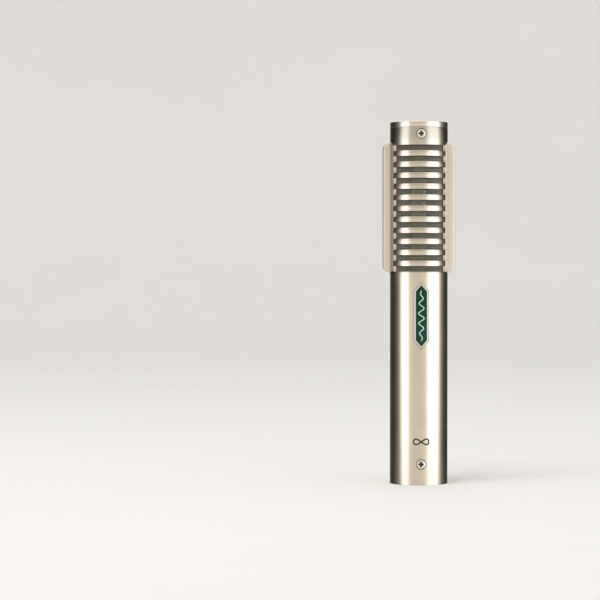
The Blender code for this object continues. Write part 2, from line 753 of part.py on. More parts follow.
def make_connector():
    """The connector's metal housing, its insulator and its three pins."""
    profile = [
        (SPIGOT_RADIUS, HOUSING_TOP),
        (SPIGOT_RADIUS, HOUSING_BOTTOM),
        (SOCKET_RADIUS + 0.4 * MM, HOUSING_BOTTOM),
        (SOCKET_RADIUS, HOUSING_BOTTOM + 0.4 * MM),
        (SOCKET_RADIUS, SHOULDER_HEIGHT),
        (SHOULDER_BORE, SHOULDER_HEIGHT),
        (SHOULDER_BORE, HOUSING_TOP),
    ]
    housing = turned("connector_housing", profile, dark_metal, ring=True, sides=INNER_SIDES)
    cut(housing, holes["base", "front"], holes["base", "rear"])
    keyway = box(
        "keyway",
        (-KEYWAY_HALF_WIDTH, SOCKET_RADIUS - MM, -MM),
        (KEYWAY_HALF_WIDTH, KEYWAY_FLOOR, KEYWAY_TOP),
    )
    cut(housing, keyway)
    for name, side in (("left", -1), ("right", 1)):
        foot = (side * ROD_X, 0, HOUSING_TOP - ROD_FOOT)
        cut(housing, rod("rod_foot_" + name, ROD_RADIUS + GAP, foot, ROD_FOOT + MM))
    floor = (0, LUG_Y, HOUSING_TOP - LUG_SCREW_DEPTH - GAP)
    cut(housing, rod("lug_screw_hole", LUG_EYE, floor, LUG_SCREW_DEPTH + GAP + MM))

    top = SHOULDER_HEIGHT - GAP
    disc = [(0, top), (INSULATOR_RADIUS, top), (INSULATOR_RADIUS, INSULATOR_BOTTOM), (0, INSULATOR_BOTTOM)]
    insulator = turned("connector_insulator", disc, black, sides=INNER_SIDES)
    pin = [
        (0, CUP_FLOOR),
        (CUP_RADIUS, CUP_FLOOR),
        (CUP_RADIUS, PIN_END),
        (PIN_RADIUS, PIN_END),
        (PIN_RADIUS, PIN_TIP + 1.0 * MM),
        (0.75 * PIN_RADIUS, PIN_TIP + 0.3 * MM),
        (0, PIN_TIP),
    ]
    for number, (x, y) in pin_places():
        turned("connector_pin_" + number, pin, gold, sides=SMALL_SIDES, location=(x, y, 0))
        hole = rod("pin_hole_" + number, PIN_RADIUS + GAP, (x, y, INSULATOR_BOTTOM - MM), 7 * MM)
        cut(insulator, hole)


def make_ground_lug():
    """The earthing lug and its screw on top of the housing."""
    low = HOUSING_TOP + GAP
    high = low + LUG_THICKNESS
    lug = rod("ground_lug", LUG_RADIUS, (0, LUG_Y, low), LUG_THICKNESS, brass)
    join(lug, box("lug_tail", (-4.6 * MM, LUG_Y - 0.7 * MM, low), (-MM, LUG_Y + 0.7 * MM, high)))
    cut(lug, rod("lug_eye", LUG_EYE, (0, LUG_Y, low - MM), 3 * MM))
    head, shank = LUG_RADIUS - 0.4 * MM, LUG_EYE - GAP
    profile = [
        (0, high + GAP + MM),
        (head, high + GAP + MM),
        (head, high + GAP),
        (shank, high + GAP),
        (shank, HOUSING_TOP - LUG_SCREW_DEPTH),
        (0, HOUSING_TOP - LUG_SCREW_DEPTH),
    ]
    turned("ground_screw", profile, steel, sides=12, location=(0, LUG_Y, 0))


def make_output_leads():
    """The wires from the pins' solder cups to the lug and to the transformer."""
    bend = [(-4.6, -3.4, 26.6), (-4.9, -6.6, 27.3)]
    ground = [(-3.95, 0, 22), (-3.95, -0.2, 24.6), *bend, (-3.4, -8.5, 27.15)]
    cold = [(0, -3.95, 22), (0, -3.9, 24.6), (0, -2.2, 27), (0, -0.9, 29.4), (0, -0.9, 32.4)]
    hot = [(3.95, 0, 22), (3.9, 0, 24.6), (2.2, 0, 27), (0.9, 0, 29.4), (0.9, 0, 32.4)]
    wire("output_lead_1", ground, WIRE_RADIUS, black_wire)
    wire("output_lead_2", hot, WIRE_RADIUS, red_wire)
    wire("output_lead_3", cold, WIRE_RADIUS, blue_wire)


# ---- Assembly ----

clear_scene()
parts = make_collection("ribbon_microphone")
cutters = make_collection("cutters")

nickel = make_material("satin_nickel", (0.62, 0.57, 0.49), 1.0, 0.28)
bright = make_material("bright_plate", (0.72, 0.72, 0.68), 1.0, 0.2)
enamel = make_material("green_enamel", (0.01, 0.09, 0.055), 0.0, 0.12)
mesh_grey = make_material("woven_wire", (0.16, 0.15, 0.12), 1.0, 0.45)
steel = make_material("plated_steel", (0.6, 0.57, 0.5), 1.0, 0.25)
iron = make_material("soft_iron", (0.3, 0.29, 0.28), 1.0, 0.4)
magnet = make_material("magnet_plating", (0.5, 0.5, 0.52), 1.0, 0.3)
brass = make_material("brass", (0.65, 0.45, 0.16), 1.0, 0.3)
phenolic = make_material("phenolic", (0.12, 0.045, 0.02), 0.0, 0.5)
foil = make_material("aluminium_foil", (0.85, 0.85, 0.86), 1.0, 0.2)
aluminium = make_material("turned_aluminium", (0.7, 0.7, 0.71), 1.0, 0.35)
rubber = make_material("rubber", (0.02, 0.02, 0.02), 0.0, 0.8)
copper = make_material("copper_winding", (0.55, 0.2, 0.07), 1.0, 0.35)
shield = make_material("shield_can", (0.45, 0.45, 0.44), 1.0, 0.45)
dark_metal = make_material("dark_metal", (0.09, 0.09, 0.09), 1.0, 0.4)
black = make_material("black_insulator", (0.015, 0.015, 0.015), 0.0, 0.4)
gold = make_material("gold_plate", (0.8, 0.55, 0.18), 1.0, 0.2)
red_wire = make_material("red_wire", (0.4, 0.01, 0.01), 0.0, 0.4)
blue_wire = make_material("blue_wire", (0.01, 0.03, 0.3), 0.0, 0.4)
black_wire = make_material("black_wire", (0.015, 0.015, 0.015), 0.0, 0.4)

# Holes that more than one piece shares
holes = {}
for place, height in (("cap", CAP_SCREW_HEIGHT), ("base", BASE_SCREW_HEIGHT)):
    for side in FACING:
        holes[place, side] = screw_hole(f"{place}_hole_{side}", height, side)
        countersunk_screw(f"{place}_screw_{side}", height, side)
dowel_holes = {}
for end_name, end in ends():
    for hand, side in (("left", -1), ("right", 1)):
        dowel_holes[end_name, hand] = dowel(
            f"dowel_hole_{end_name}_{hand}", end, side, DOWEL_RADIUS + GAP, DOWEL_HALF_LENGTH + GAP
        )
carrier_screw_holes = [
    rod(
        f"carrier_screw_hole_{i}",
        CARRIER_SCREW_SHANK + GAP,
        (x, 0, CARRIER_BOTTOM - MM),
        CARRIER_SCREW_TIP + GAP - CARRIER_BOTTOM + MM,
    )
    for i, x in enumerate((-CARRIER_SCREW_X, CARRIER_SCREW_X))
]

make_tube()
make_cap()
make_wings()
make_screens()
make_badge()
make_magnets_and_poles()
make_clamps()
make_ribbon()
make_ribbon_leads()
make_carrier()
make_transformer()
make_connector()
make_ground_lug()
make_output_leads()
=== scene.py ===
"""Looks of the ribbon microphone: fine meshes, procedural materials, a pale studio and the camera.

Everything is in metres in the frame of the CAD model: +Z up along the tube, the badge facing -Y, the
wings along -X and +X. Angles round the tube are measured from -Y towards +X.
"""

import json
import math

import bmesh
import bpy
import numpy as np
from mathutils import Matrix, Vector


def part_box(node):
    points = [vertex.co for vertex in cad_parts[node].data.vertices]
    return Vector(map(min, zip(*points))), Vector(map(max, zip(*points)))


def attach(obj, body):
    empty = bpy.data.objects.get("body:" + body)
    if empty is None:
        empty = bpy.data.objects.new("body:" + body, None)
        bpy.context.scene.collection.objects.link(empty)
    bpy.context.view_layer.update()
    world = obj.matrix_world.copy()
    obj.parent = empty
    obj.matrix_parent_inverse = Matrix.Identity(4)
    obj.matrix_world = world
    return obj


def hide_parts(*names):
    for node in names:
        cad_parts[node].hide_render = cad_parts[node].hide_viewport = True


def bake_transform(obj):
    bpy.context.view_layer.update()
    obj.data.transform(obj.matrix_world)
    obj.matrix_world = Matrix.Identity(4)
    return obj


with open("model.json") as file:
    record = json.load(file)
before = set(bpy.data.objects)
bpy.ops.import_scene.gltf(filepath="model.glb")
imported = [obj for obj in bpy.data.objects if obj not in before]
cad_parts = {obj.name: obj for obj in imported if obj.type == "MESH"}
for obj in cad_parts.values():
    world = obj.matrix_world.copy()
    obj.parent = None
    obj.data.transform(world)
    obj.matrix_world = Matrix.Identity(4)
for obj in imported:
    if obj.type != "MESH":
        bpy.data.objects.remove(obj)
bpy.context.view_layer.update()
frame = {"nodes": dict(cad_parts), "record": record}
MM = 0.001
BODY = "microphone"

# Sizes read from the frame
TUBE_LOW, TUBE_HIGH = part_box("body_tube")
CAP_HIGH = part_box("top_cap")[1]
WING_LOW, WING_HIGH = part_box("wing_right")
BADGE_LOW, BADGE_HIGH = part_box("badge_plate")
SCREEN_LOW, SCREEN_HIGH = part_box("screen_front")
HOUSING_LOW, HOUSING_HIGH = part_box("connector_housing")
RIBBON_LOW, RIBBON_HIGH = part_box("ribbon")
CLAMP_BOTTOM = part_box("ribbon_clamp_bottom")
CLAMP_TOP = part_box("ribbon_clamp_top")
TUBE_RADIUS = TUBE_HIGH[0]
TOP = CAP_HIGH[2]

# Sizes that the boxes can't give
TUBE_BORE = 11.2 * MM
SEAM_HEIGHT = 155.5 * MM
SEAM_WIDTH = 0.12 * MM
SLOT_COUNT = 12
SLOT_PITCH = 4.778 * MM
SLOT_HEIGHT = 2.38 * MM
SLOT_FIRST = 93.94 * MM
SLOT_END = 4.7 * MM
WINDOW_HALF = 2.65 * MM
WING_GAP = 0.15 * MM
WING_CORNER = 3.5 * MM
EDGE = 0.13 * MM  # rounding of the tube's machined edges
WING_EDGE = 0.8 * MM
SCREW_HEAD = 2.0 * MM
SCREW_SHANK = 1.1 * MM
SCREW_FACE = 12.5 * MM
SCREW_CONE = 1.1 * MM
SCREW_TIP = 8.6 * MM
CAP_SCREW_HEIGHT = 152.5 * MM
BASE_SCREW_HEIGHT = 9.2 * MM
BADGE_POINT = 1.15  # height of each point, as a share of half the width
BADGE_RIM = 0.63 * MM
BADGE_POCKET = 12.1 * MM
MARK_HEIGHT = 19.0 * MM
SCREEN_RADIUS = 10.75 * MM
SCREEN_HALF_ANGLE = math.radians(72)
WIRE_PITCH = 0.7 * MM
WIRE_RADIUS = 0.185 * MM
SOCKET_RADIUS = 8.2 * MM
SHOULDER_HEIGHT = 20.3 * MM
SHOULDER_BORE = 6.5 * MM
INSULATOR_BOTTOM = 15.8 * MM
PIN_RADIUS = 1.22 * MM
PIN_CIRCLE = 3.95 * MM
PIN_TIP = 2.6 * MM
PIN_END = 24.5 * MM
PINS = {"1": (-PIN_CIRCLE, 0), "2": (PIN_CIRCLE, 0), "3": (0, -PIN_CIRCLE)}
RIBBON_FOLDS = 42
RIBBON_WAVE = 0.2 * MM
RIBBON_FOIL = 0.03 * MM

# Camera, which stands a little to the left of the front with the microphone to the right of its axis
CAMERA_DISTANCE = 0.9
CAMERA_HEIGHT = 0.0947
CAMERA_SIDE = math.radians(5.5)
CAMERA_YAW = math.radians(2.186)
CAMERA_PITCH = math.radians(0.92)
CAMERA_LENS = 122.85

ROUND_SIDES = 240
CONNECTOR_SIDES = 128
SMALL_SIDES = 48
MERGE = 0.001 * MM  # points closer than this become one
FACING = {"front": (math.pi / 2, 0, 0), "rear": (-math.pi / 2, 0, 0)}  # turns +Z to -Y or to +Y

scene = bpy.context.scene


# ---- Meshes ----


def put(name, data, location=(0, 0, 0), rotation=(0, 0, 0)):
    """A new object in the scene."""
    made = bpy.data.objects.new(name, data)
    scene.collection.objects.link(made)
    made.location = location
    made.rotation_euler = rotation
    return made


def discard(*helpers):
    """Remove objects that only helped to shape others."""
    for helper in helpers:
        bpy.data.objects.remove(helper, do_unlink=True)


def apply_changes(made, sharp=35):
    """Turn an object's modifiers or curve into its mesh, and shade it smooth except at sharp edges."""
    bpy.context.view_layer.update()
    settled = made.evaluated_get(bpy.context.evaluated_depsgraph_get())
    mesh = bpy.data.meshes.new_from_object(settled)
    mesh.name = made.name
    if made.type == "CURVE":
        work = bmesh.new()
        work.from_mesh(mesh)
        bmesh.ops.remove_doubles(work, verts=work.verts, dist=MERGE)
        work.to_mesh(mesh)
        work.free()
        name, location, rotation = made.name, made.location.copy(), made.rotation_euler.copy()
        discard(made)
        made = put(name, mesh, location, rotation)
    else:
        made.modifiers.clear()
        made.data = mesh
    mesh.shade_smooth()
    mesh.set_sharp_from_angle(angle=math.radians(sharp))
    return made


def bevel(made, width, segments=3, limit=40):
    """Round the edges of a piece that are sharper than limit degrees."""
    change = made.modifiers.new("round_edges", "BEVEL")
    change.width = width
    change.segments = segments
    change.limit_method = "ANGLE"
    change.angle_limit = math.radians(limit)
    return made


def cut(made, *tools):
    """Cut each tool out of the piece."""
    for tool in tools:
        change = made.modifiers.new("cut", "BOOLEAN")
        change.operation = "DIFFERENCE"
        change.solver = "EXACT"
        change.object = tool
    return made


def arc(centre, radius, first, last, steps):
    """Points on a circle in the profile's plane, between two angles in degrees."""
    angles = [math.radians(first + (last - first) * i / steps) for i in range(steps + 1)]
    return [(centre[0] + radius * math.cos(a), centre[1] + radius * math.sin(a)) for a in angles]


def turned(name, profile, ring=False, sides=ROUND_SIDES, location=(0, 0, 0), rotation=(0, 0, 0)):
    """A turned piece. The profile's (radius, height) points run down its outer side."""
    mesh = bpy.data.meshes.new(name)
    edges = [(i, i + 1) for i in range(len(profile) - 1)]
    if ring:
        edges.append((len(profile) - 1, 0))
    mesh.from_pydata([(radius, 0, height) for radius, height in profile], edges, [])
    made = put(name, mesh, location, rotation)
    spin = made.modifiers.new("turn", "SCREW")
    spin.steps = sides
    spin.render_steps = sides
    spin.use_merge_vertices = True
    spin.merge_threshold = MERGE
    return apply_changes(made)


def plate(name, outline, thickness, location=(0, 0, 0), rotation=(0, 0, 0)):
    """A flat plate with this outline in its own XY plane, centred on its thickness."""
    work = bmesh.new()
    face = work.faces.new([work.verts.new((x, y, -thickness / 2)) for x, y in outline])
    if face.normal.z > 0:
        face.normal_flip()
    work.normal_update()
    raised = bmesh.ops.extrude_face_region(work, geom=[face], use_keep_orig=True)
    top = [part for part in raised["geom"] if isinstance(part, bmesh.types.BMVert)]
    bmesh.ops.translate(work, verts=top, vec=(0, 0, thickness))
    bmesh.ops.recalc_face_normals(work, faces=work.faces)
    mesh = bpy.data.meshes.new(name)
    work.to_mesh(mesh)
    work.free()
    return put(name, mesh, location, rotation)


def block(name, low, high, taper=1.0, location=(0, 0, 0), rotation=(0, 0, 0)):
    """A box between two corners in its own frame. taper narrows its lowest face in x and y."""
    middle = (Vector(low) + Vector(high)) / 2
    size = Vector(high) - Vector(low)
    work = bmesh.new()
    bmesh.ops.create_cube(work, size=1.0)
    for vert in work.verts:
        if vert.co.z < 0:
            vert.co.x *= taper
            vert.co.y *= taper
    bmesh.ops.scale(work, vec=size, verts=work.verts)
    bmesh.ops.translate(work, vec=middle, verts=work.verts)
    mesh = bpy.data.meshes.new(name)
    work.to_mesh(mesh)
    work.free()
    return put(name, mesh, location, rotation)


def settle(piece, look, body=BODY, replaced=()):
    """Give a finished piece its material, its body and the CAD nodes that it stands for."""
    piece.data.materials.clear()
    piece.data.materials.append(look)
    if body:
        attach(piece, body)
    if replaced:
        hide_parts(*replaced)
    return piece


# ---- Materials ----


class Nodes:
    """A node tree with short ways to add nodes and to join them."""

    def __init__(self, tree):
        self.tree = tree

    def add(self, kind, **settings):
        """A new node with these settings."""
        node = self.tree.nodes.new(kind)
        for key, value in settings.items():
            setattr(node, key, value)
        return node

    def link(self, source, target):
        """Feed one socket from another."""
        self.tree.links.new(source, target)

    def feed(self, source, target):
        """Feed a socket from another socket, or set it to a number or a colour."""
        if isinstance(source, bpy.types.NodeSocket):
            self.link(source, target)
        elif isinstance(source, tuple) and len(target.default_value) == 4:
            target.default_value = (*source, 1.0)
        else:
            target.default_value = source

    def calculate(self, operation, *inputs):
        """A Math node fed with sockets and numbers, in order."""
        node = self.add("ShaderNodeMath", operation=operation)
        for source, target in zip(inputs, node.inputs):
            self.feed(source, target)
        return node.outputs[0]

    def sum(self, first, second):
        """The sum of two sockets."""
        return self.calculate("ADD", first, second)

    def product(self, first, second):
        """The product of two sockets."""
        return self.calculate("MULTIPLY", first, second)

    def vector(self, operation, first, second=None, socket=1, output=0):
        """A Vector Math node fed by a socket and, where it takes one, by a second input."""
        node = self.add("ShaderNodeVectorMath", operation=operation)
        self.link(first, node.inputs[0])
        if second is not None:
            self.feed(second, node.inputs[socket])
        return node.outputs[output]

    def scaled(self, source, factor):
        """A colour made brighter or darker by a number or a socket."""
        return self.vector("SCALE", source, factor, "Scale")

    def axis(self, source, name):
        """One coordinate of a vector socket."""
        split = self.add("ShaderNodeSeparateXYZ")
        self.link(source, split.inputs[0])
        return split.outputs[name]

    def remap(self, source, low, high, start=0.25, end=0.75, smooth=False):
        """source taken from the range start to end onto the range low to high."""
        node = self.add("ShaderNodeMapRange", interpolation_type="SMOOTHSTEP" if smooth else "LINEAR")
        self.link(source, node.inputs["Value"])
        for socket, value in (("From Min", start), ("From Max", end), ("To Min", low), ("To Max", high)):
            node.inputs[socket].default_value = value
        return node.outputs["Result"]

    def blend(self, factor, first, second):
        """A mix of two colours or colour sockets."""
        node = self.add("ShaderNodeMix", data_type="RGBA")
        self.link(factor, node.inputs[0])
        self.feed(first, node.inputs[6])
        self.feed(second, node.inputs[7])
        return node.outputs[2]


class Look(Nodes):
    """A material whose Principled shader is fed by procedural nodes in object space."""

    def __init__(self, name, metallic=0.0, **constants):
        self.material = bpy.data.materials.new(name)
        self.material.use_nodes = True
        super().__init__(self.material.node_tree)
        self.shader = self.tree.nodes["Principled BSDF"]
        self.shader.inputs["Metallic"].default_value = metallic
        for socket, value in constants.items():
            self.shader.inputs[socket.replace("_", " ")].default_value = value
        self.place = self.add("ShaderNodeTexCoord").outputs["Object"]

    def stretched(self, scale):
        """Object coordinates scaled along each axis, in repeats per metre."""
        node = self.add("ShaderNodeMapping")
        node.inputs["Scale"].default_value = scale
        self.link(self.place, node.inputs["Vector"])
        return node.outputs["Vector"]

    def along(self, name):
        """One coordinate of a point on the object, in metres."""
        return self.axis(self.place, name)

    def noise(self, scale, detail=3.0, rough=0.55):
        """Noise with this many features per metre, one number or one for each axis."""
        node = self.add("ShaderNodeTexNoise")
        axes = scale if isinstance(scale, tuple) else (scale, scale, scale)
        self.link(self.stretched(axes), node.inputs["Vector"])
        node.inputs["Scale"].default_value = 1.0
        node.inputs["Detail"].default_value = detail
        node.inputs["Roughness"].default_value = rough
        return node.outputs["Fac"]

    def bands(self, direction, scale, distortion):
        """Wavy lines across one axis, such as layers or turns of wire."""
        node = self.add("ShaderNodeTexWave", wave_type="BANDS", bands_direction=direction)
        self.link(self.stretched((1, 1, 1)), node.inputs["Vector"])
        node.inputs["Scale"].default_value = scale
        node.inputs["Distortion"].default_value = distortion
        return node.outputs["Fac"]

    def colour(self, source):
        """Feed the base colour."""
        self.link(source, self.shader.inputs["Base Color"])

    def roughness(self, source):
        """Feed the roughness."""
        self.link(source, self.shader.inputs["Roughness"])

    def bump(self, source, height, strength=0.5):
        """Add a bump this high, over any bump that is there already."""
        node = self.add("ShaderNodeBump")
        node.inputs["Strength"].default_value = strength
        node.inputs["Distance"].default_value = height
        self.link(source, node.inputs["Height"])
        if self.shader.inputs["Normal"].is_linked:
            self.link(self.shader.inputs["Normal"].links[0].from_socket, node.inputs["Normal"])
        self.link(node.outputs["Normal"], self.shader.inputs["Normal"])


def shade(colour, factor):
    """A colour made lighter or darker."""
    return tuple(channel * factor for channel in colour)


def metal_look(name, colour, rough, spread=0.05, lines=(120, 120, 9000), grain=0.000006, patch=0.06):
    """Metal with soft tone patches, fine machining lines along one direction and a fine grain."""
    look = Look(name, metallic=1.0)
    cloud = look.noise(90, 4.0)
    fine = look.noise(2600, 2.0)
    streak = look.noise(lines, 2.0, 0.7)
    tone = look.blend(look.remap(cloud, 0.0, 1.0), shade(colour, 1 - patch), shade(colour, 1 + patch / 2))
    tone = look.blend(look.remap(streak, 0.0, 0.35, 0.5, 0.8), tone, shade(colour, 0.9))
    look.colour(tone)
    uneven = look.remap(cloud, rough - spread / 2, rough + spread / 2)
    look.roughness(look.sum(uneven, look.remap(fine, -spread / 3, spread / 3)))
    look.bump(streak, grain, 0.35)
    look.bump(fine, grain, 0.25)
    return look, tone


def metal(*settings, **options):
    """The material of a plain metal_look."""
    return metal_look(*settings, **options)[0].material


def tube_look():
    """The tube's satin nickel, darker above the slots, with painted shade in the narrow strips beside the
    wings.

    Painted shade darkens the seams round the badge and the screws, which lie below the tube's surface.
    """
    look, tone = metal_look("tube_nickel", (0.84, 0.775, 0.68), 0.2, grain=0.000004)
    strip = TUBE_RADIUS - 0.9 * MM  # how far from the middle the narrow strips begin
    # Painted shade in the narrow strips beside the wings, stronger on the left than on the right.
    left = look.remap(look.along("X"), 0.85, 0.0, -strip, 0.6 * MM - strip)
    right = look.remap(look.along("X"), 0.0, 0.5, strip - 0.4 * MM, strip + 0.2 * MM)
    over_foot = look.remap(look.along("Z"), 0.0, 1.0, WING_LOW[2] - MM, WING_LOW[2])
    under_head = look.remap(look.along("Z"), 1.0, 0.0, WING_HIGH[2], WING_HIGH[2] + MM)
    beside_wings = look.product(over_foot, under_head)
    painted_shade_beside_wings = look.product(look.sum(left, right), beside_wings)
    last_slot = SLOT_FIRST + (SLOT_COUNT - 1) * SLOT_PITCH + SLOT_HEIGHT / 2
    # A darker tone above the last slot.
    top = look.remap(look.along("Z"), 0.0, 0.4, last_slot - 0.4 * MM, last_slot + 0.6 * MM)
    darker_top = look.blend(top, tone, (0.54, 0.55, 0.47))
    tone_with_side_shade = look.blend(painted_shade_beside_wings, darker_top, (0.2, 0.16, 0.13))
    radius = look.vector("LENGTH", look.stretched((1, 1, 0)), output="Value")
    # Painted shade in the seams round the badge and the screws, below the tube's surface.
    below_skin = look.remap(radius, 0.4, 0.0, TUBE_RADIUS - 0.16 * MM, TUBE_RADIUS - 0.1 * MM)
    off_bore = look.remap(radius, 0.0, 1.0, TUBE_BORE + 0.5 * MM, TUBE_BORE + 0.6 * MM)
    off_rim = look.remap(look.along("Z"), 0.0, 1.0, MM, 1.2 * MM)
    off_slots = look.remap(beside_wings, 1.0, 0.0, 0.0, 1.0)
    painted_seam_shade = look.product(look.product(below_skin, off_bore), look.product(off_rim, off_slots))
    look.colour(look.blend(painted_seam_shade, tone_with_side_shade, (0.12, 0.1, 0.075)))
    return look.material


def wing_look():
    """The wings' satin plate, rougher than the tube, with a little painted shade where the left one meets
    it.
    """
    lines = (120, 9000, 160)
    look, tone = metal_look("wing_nickel", (0.885, 0.83, 0.735), 0.37, 0.07, lines, 0.000004, 0.04)
    # Painted shade on the left wing where it meets the tube.
    painted_shade_by_tube = look.remap(look.along("X"), 0.0, 0.45, -TUBE_RADIUS - 0.7 * MM, -TUBE_RADIUS + 0.3 * MM)
    side = look.remap(look.along("X"), 1.0, 0.0, -MM, MM)
    look.colour(look.blend(look.product(painted_shade_by_tube, side), tone, (0.3, 0.27, 0.22)))
    return look.material


def wire_look():
    """The screens' matt woven wire, with painted shadow darkening it under the upper edge of each slot."""
    look, tone = metal_look("woven_wire", (0.29, 0.29, 0.242), 0.34, 0.1, (3000, 3000, 3000), patch=0.2)
    # Painted shadow under the upper edge of each slot, where the wall shades the wire cloth.
    below_edge = look.calculate("SUBTRACT", look.along("Z"), SLOT_FIRST + SLOT_HEIGHT / 2)
    place = look.calculate("PINGPONG", below_edge, SLOT_PITCH / 2)
    painted_shadow = look.remap(place, 0.5, 0.0, 0.3 * MM, 0.9 * MM)
    look.colour(look.blend(painted_shadow, tone, (0.12, 0.115, 0.1)))
    return look.material


def screw_look():
    """Plated screw heads with bright faces, and painted shade with old dirt down in the cross."""
    look = Look("plated_screw", metallic=1.0)
    cloud = look.noise(900, 3.0)
    turning = look.noise((9000, 9000, 400), 2.0)
    # Painted shade and old dirt darken the cross recess below the head's face.
    down = look.remap(look.along("Z"), 1.0, 0.0, SCREW_FACE - 0.5 * MM, SCREW_FACE - 0.24 * MM)
    face = look.blend(look.remap(cloud, 0.0, 1.0), (0.93, 0.91, 0.85), (0.98, 0.97, 0.92))
    look.colour(look.blend(down, face, (0.17, 0.145, 0.1)))
    look.roughness(look.sum(look.remap(cloud, 0.22, 0.32), look.remap(down, 0.0, 0.3, 0.0, 1.0)))
    look.bump(turning, 0.000004, 0.3)
    return look.material


def moulded(name, colour, rough, patch=0.12, coat=0.0, pimple=0.00001, features=3500):
    """Moulded or painted plastic, rubber or enamel with slight patches and a fine pimpled surface."""
    look = Look(name, metallic=0.0, Coat_Weight=coat)
    look.shader.inputs["Coat Roughness"].default_value = 0.05
    cloud = look.noise(140, 3.0)
    fine = look.noise(features, 2.0)
    look.colour(look.blend(look.remap(cloud, 0, 1), shade(colour, 1 - patch), shade(colour, 1 + patch)))
    look.roughness(look.remap(fine, rough * 0.85, min(rough * 1.15, 1.0)))
    look.bump(fine, pimple, 0.4)
    return look.material


def phenolic_look():
    """Brown paper laminate with its layers showing as thin darker lines."""
    look = Look("phenolic", Specular_IOR_Level=0.5)
    layers = look.bands("Y", 900, 1.5)
    fine = look.noise(2500, 3.0)
    tone = look.blend(layers, (0.16, 0.06, 0.025), (0.09, 0.032, 0.014))
    look.colour(look.blend(look.remap(fine, 0, 0.5), tone, (0.2, 0.09, 0.04)))
    look.roughness(look.remap(fine, 0.4, 0.6))
    look.bump(layers, 0.00002, 0.3)
    return look.material


def winding_look():
    """Fine enamelled copper wire in close turns round the bobbin."""
    look = Look("copper_winding", metallic=1.0)
    turns = look.bands("Z", 2200, 0.6)
    cloud = look.noise(300)
    tone = look.blend(look.remap(cloud, 0, 1), (0.5, 0.17, 0.06), (0.68, 0.27, 0.1))
    look.colour(look.blend(look.remap(turns, 0.7, 0.0, 0.0, 0.5), tone, (0.12, 0.035, 0.015)))
    look.roughness(look.remap(cloud, 0.28, 0.42))
    look.bump(turns, 0.00005, 0.8)
    return look.material


def enamel_look():
    """Deep green glass enamel, a little uneven under a clear glossy surface."""
    look = Look("green_enamel", Specular_IOR_Level=0.22)
    depth = look.noise(700, 4.0)
    specks = look.noise(5200, 2.0)
    tone = look.blend(look.remap(depth, 0, 1), (0.001, 0.036, 0.019), (0.003, 0.058, 0.032))
    look.colour(look.blend(look.remap(specks, 0.0, 0.25, 0.6, 0.8), tone, (0.01, 0.1, 0.062)))
    look.roughness(look.remap(depth, 0.12, 0.22))
    look.bump(depth, 0.00001, 0.3)
    return look.material


def studio_paper():
    """The pale seamless paper of the floor and the backdrop."""
    look = Look("studio_paper")
    cloud = look.noise(3.0, 4.0)
    look.colour(look.blend(look.remap(cloud, 0, 1), (0.80, 0.795, 0.785), (0.83, 0.825, 0.815)))
    look.roughness(look.remap(cloud, 0.85, 0.95))
    return look.material


nickel = metal("satin_nickel", (0.91, 0.85, 0.75), 0.2, grain=0.000004)
tube_nickel = tube_look()
wing_metal = wing_look()
bright = metal("bright_plate", (0.9, 0.9, 0.87), 0.14, 0.05, lines=(6000, 200, 200), grain=0.000003)
plated = metal("plated_steel", (0.82, 0.78, 0.7), 0.2, 0.08, lines=(2500, 2500, 2500))
screw_metal = screw_look()
wire_metal = wire_look()
iron = metal("soft_iron", (0.36, 0.35, 0.34), 0.38, 0.14, lines=(5000, 200, 200), grain=0.00001, patch=0.15)
magnet = metal("magnet_plating", (0.6, 0.6, 0.62), 0.24, 0.1, lines=(300, 300, 5000), patch=0.1)
brass = metal("brass", (0.78, 0.56, 0.24), 0.26, 0.1, lines=(5000, 300, 300), patch=0.12)
foil = metal("aluminium_foil", (0.9, 0.9, 0.91), 0.18, 0.08, lines=(200, 200, 9000), patch=0.04)
aluminium = metal("turned_aluminium", (0.78, 0.78, 0.79), 0.32, 0.1, lines=(200, 200, 7000))
shield = metal("shield_can", (0.5, 0.49, 0.47), 0.42, 0.14, lines=(200, 200, 4000), patch=0.2)
dark_metal = metal("dark_metal", (0.13, 0.13, 0.13), 0.36, 0.12, lines=(200, 200, 7000), patch=0.15)
gold = metal("gold_plate", (0.95, 0.69, 0.3), 0.16, 0.06, lines=(3000, 3000, 200), patch=0.05)
rubber = moulded("rubber", (0.022, 0.022, 0.021), 0.75, 0.25, pimple=0.00003)
black_plastic = moulded("black_insulator", (0.018, 0.018, 0.018), 0.38, 0.15)
red_wire = moulded("red_wire", (0.42, 0.012, 0.01), 0.38)
blue_wire = moulded("blue_wire", (0.012, 0.035, 0.33), 0.38)
black_wire = moulded("black_wire", (0.016, 0.016, 0.016), 0.38)
ink = moulded("engraving_ink", (0.014, 0.012, 0.01), 0.6, 0.2)
phenolic = phenolic_look()
copper = winding_look()
enamel = enamel_look()
pale_enamel = moulded("pale_enamel", (0.5, 0.74, 0.58), 0.3, 0.08)


# ---- Tube, cap and wings ----


def wall_columns():
    """Pairs of outer and inner angles round the wall, straight across where slots and windows end."""
    edges = []
    for depth in (SLOT_END, WINDOW_HALF):
        outer = math.degrees(math.acos(depth / TUBE_RADIUS))
        inner = math.degrees(math.acos(depth / TUBE_BORE))
        for mirror in ((outer, inner), (180 - outer, 180 - inner)):
            edges.append(mirror)
            edges.append((360 - mirror[0], 360 - mirror[1]))
    step = 360 / ROUND_SIDES
    columns = list(edges)
    for i in range(ROUND_SIDES):
        angle = i * step
        if all(min(edge) - 0.6 * step > angle or angle > max(edge) + 0.6 * step for edge in edges):
            columns.append((angle, angle))
    return sorted(columns)


